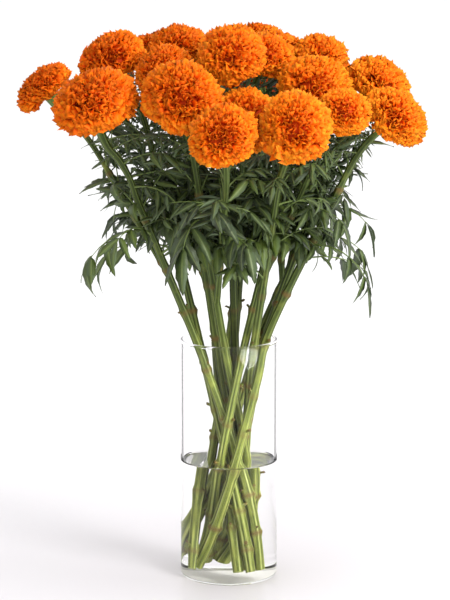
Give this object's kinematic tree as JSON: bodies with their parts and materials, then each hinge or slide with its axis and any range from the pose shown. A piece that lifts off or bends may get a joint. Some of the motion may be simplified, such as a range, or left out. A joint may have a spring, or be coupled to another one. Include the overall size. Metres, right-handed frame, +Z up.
{
  "type": "vase of marigold flowers",
  "caption": "Clear glass cylinder vase, part filled with water, holding a full spray of leafy green stems that each end in an orange pompom marigold head.",
  "frame": {"origin": "centre of the vase's foot, on the surface it stands on", "axes": "+Z up along the vase's axis; the picture was taken from the -Y side, with +X to the right"},
  "size_m": [0.4108, 0.4041, 0.5784],
  "materials": {
    "vase_glass": "polished",
    "water": "gloss",
    "green": "satin",
    "petals": "matte"
  },
  "bodies": {
    "root": {"vase": "vase_glass", "water": "water", "stem_02": "green", "stem_03": "green", "stem_05": "green", "stem_06": "green", "stem_07": "green", "stem_08": "green", "stem_09": "green", "stem_15": "green", "stem_16": "green", "stem_17": "green", "stem_19": "green", "stem_22": "green", "stem_24": "green", "bloom_01": "petals", "bloom_02": "petals", "bloom_03": "petals", "bloom_04": "petals", "bloom_05": "petals", "bloom_06": "petals", "bloom_07": "petals", "bloom_08": "petals", "bloom_09": "petals", "bloom_10": "petals", "bloom_11": "petals", "bloom_12": "petals", "bloom_13": "petals", "bloom_14": "petals", "bloom_15": "petals", "bloom_16": "petals", "bloom_17": "petals", "bloom_18": "petals", "bloom_19": "petals", "bloom_20": "petals", "bloom_21": "petals", "bloom_22": "petals", "bloom_23": "petals", "bloom_24": "petals"}
  },
  "joints": []
}
